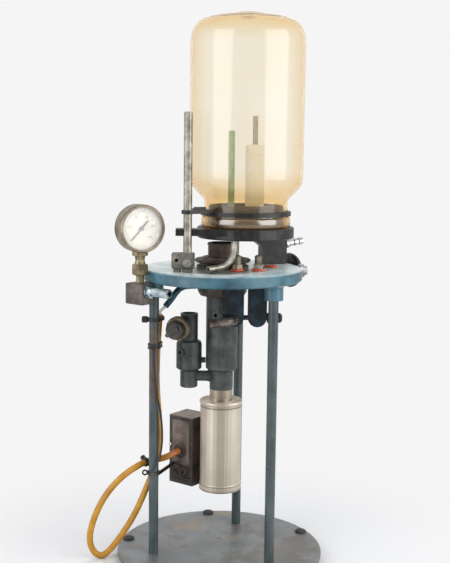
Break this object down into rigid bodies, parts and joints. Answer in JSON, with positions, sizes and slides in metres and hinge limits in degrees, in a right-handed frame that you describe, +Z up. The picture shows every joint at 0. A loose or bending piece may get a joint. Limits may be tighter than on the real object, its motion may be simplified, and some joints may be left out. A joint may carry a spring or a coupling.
{
  "type": "boyles law apparatus",
  "caption": "Tabletop gas pressure apparatus: an inverted amber jar on a three-legged stand with valve column, gauge, relay box and gas hose.",
  "frame": {"origin": "on the bench under the middle of the base disc", "axes": "+Z up, -Y towards the viewer of the picture, +X to the right"},
  "size_m": [0.3315, 0.29, 0.7608],
  "materials": {
    "leg_blue_paint": "satin paint, slightly worn",
    "base_grey_paint": "worn grey paint with rust",
    "foot_rubber": "matt moulded rubber",
    "table_teal_paint": "teal paint on a casting, worn on top",
    "casting_grey": "painted rough casting",
    "canister_metal": "dull spun metal",
    "knob_dark": "dark moulded knob",
    "bracket_teal": "dark teal paint over a casting",
    "barb_plated": "plated barb",
    "brown_metal": "brown aged casting",
    "plain_steel": "aged plain steel",
    "olive_brass": "aged union brass",
    "stem_brass": "aged gauge stem",
    "seal_orange": "orange sealing rubber",
    "enamel_blue": "dark blue enamelled pipe",
    "black_steel": "black painted steel",
    "jar_amber": "clear amber moulding",
    "plug_green": "green rubber stopper",
    "tube_cream": "cream tube",
    "gauge_brown": "brown lacquered case",
    "gauge_window": "clear window",
    "dial_white": "printed dial face",
    "block_brown": "aged block casting",
    "nozzle_chrome": "plated nozzle",
    "box_black": "black box frame",
    "wheel_black": "black moulded handwheel",
    "box_brown": "brown ribbed panel",
    "hose_yellow": "yellow gas hose",
    "sleeve_clear": "clear sleeve",
    "tie_black": "black tie"
  },
  "bodies": {
    "stand": {"base_plate": "base_grey_paint", "leg_left": "leg_blue_paint", "leg_right": "leg_blue_paint", "leg_rear": "leg_blue_paint", "table_plate": "table_teal_paint", "valve_flange": "casting_grey", "main_body": "casting_grey", "canister_shell": "canister_metal", "canister_cap": "canister_metal", "side_valve_body": "casting_grey", "valve_bonnet": "casting_grey", "link_pipe": "casting_grey", "clevis_bracket": "bracket_teal", "pivot_pin": "plain_steel", "drain_tube": "plain_steel", "cap_stack": "casting_grey", "valve_cap": "brown_metal", "rod_block": "casting_grey", "washer_left": "seal_orange", "washer_middle": "seal_orange", "washer_right": "seal_orange", "union_left": "olive_brass", "union_middle": "olive_brass", "spout_tube": "plain_steel", "jar_collar": "black_steel", "hose_barb": "barb_plated", "neck_plug": "plug_green", "riser_tube": "tube_cream", "standpipe": "tube_cream", "standpipe_sleeve": "tube_cream", "gauge_case": "gauge_brown", "gauge_glass": "gauge_window", "gauge_dial": "dial_white", "gauge_stem": "stem_brass", "gauge_block": "block_brown", "outlet_nozzle": "nozzle_chrome", "box_body": "box_black", "box_panel": "box_brown", "box_gland": "box_black", "box_bracket": "plain_steel", "wheel_body": "olive_brass", "rim_plug": "barb_plated", "tie_upper": "tie_black", "tie_middle": "tie_black", "hose_tie": "tie_black", "yellow_hose": "hose_yellow", "hose_sleeve": "sleeve_clear", "feed_tube": "enamel_blue", "foot_1": "foot_rubber", "foot_2": "foot_rubber", "foot_3": "foot_rubber", "foot_4": "foot_rubber", "foot_5": "foot_rubber"},
    "bell": {"jar": "jar_amber", "ring_clamp": "black_steel"},
    "rod": {"guide_rod": "plain_steel"},
    "clamp": {"clamp_screw": "plain_steel"},
    "regulator": {"valve_knob": "knob_dark"},
    "handwheel": {"rear_wheel": "wheel_black"},
    "needle": {"gauge_pointer": "knob_dark"}
  },
  "joints": [
    {"name": "jar_lift", "type": "slide", "parent": "stand", "child": "bell", "axis": [0, 0, 1], "range_m": [0, 0.1]},
    {"name": "rod_slide", "type": "slide", "parent": "stand", "child": "rod", "axis": [0, 0, 1], "range_m": [0, 0.012]},
    {"name": "clamp_screw_turn", "type": "hinge", "parent": "stand", "child": "clamp", "pos_m": [-0.0466, -0.068, 0.4287], "axis": [0, -1, 0], "range_deg": [0, 360]},
    {"name": "regulator_turn", "type": "hinge", "parent": "stand", "child": "regulator", "pos_m": [-0.06385, -0.03305, 0.33249], "axis": [-0.371, -0.9182, -0.1392], "range_deg": [0, 270]},
    {"name": "handwheel_turn", "type": "hinge", "parent": "stand", "child": "handwheel", "pos_m": [0.09792, 0.07929, 0.404], "axis": [0.7771, 0.6293, 0], "range_deg": [0, 720]},
    {"name": "gauge_needle", "type": "hinge", "parent": "stand", "child": "needle", "pos_m": [-0.10993, -0.05103, 0.4726], "axis": [0.4848, -0.8746, 0], "range_deg": [-270, 0], "stiffness_Nm_per_rad": 0.00002}
  ]
}
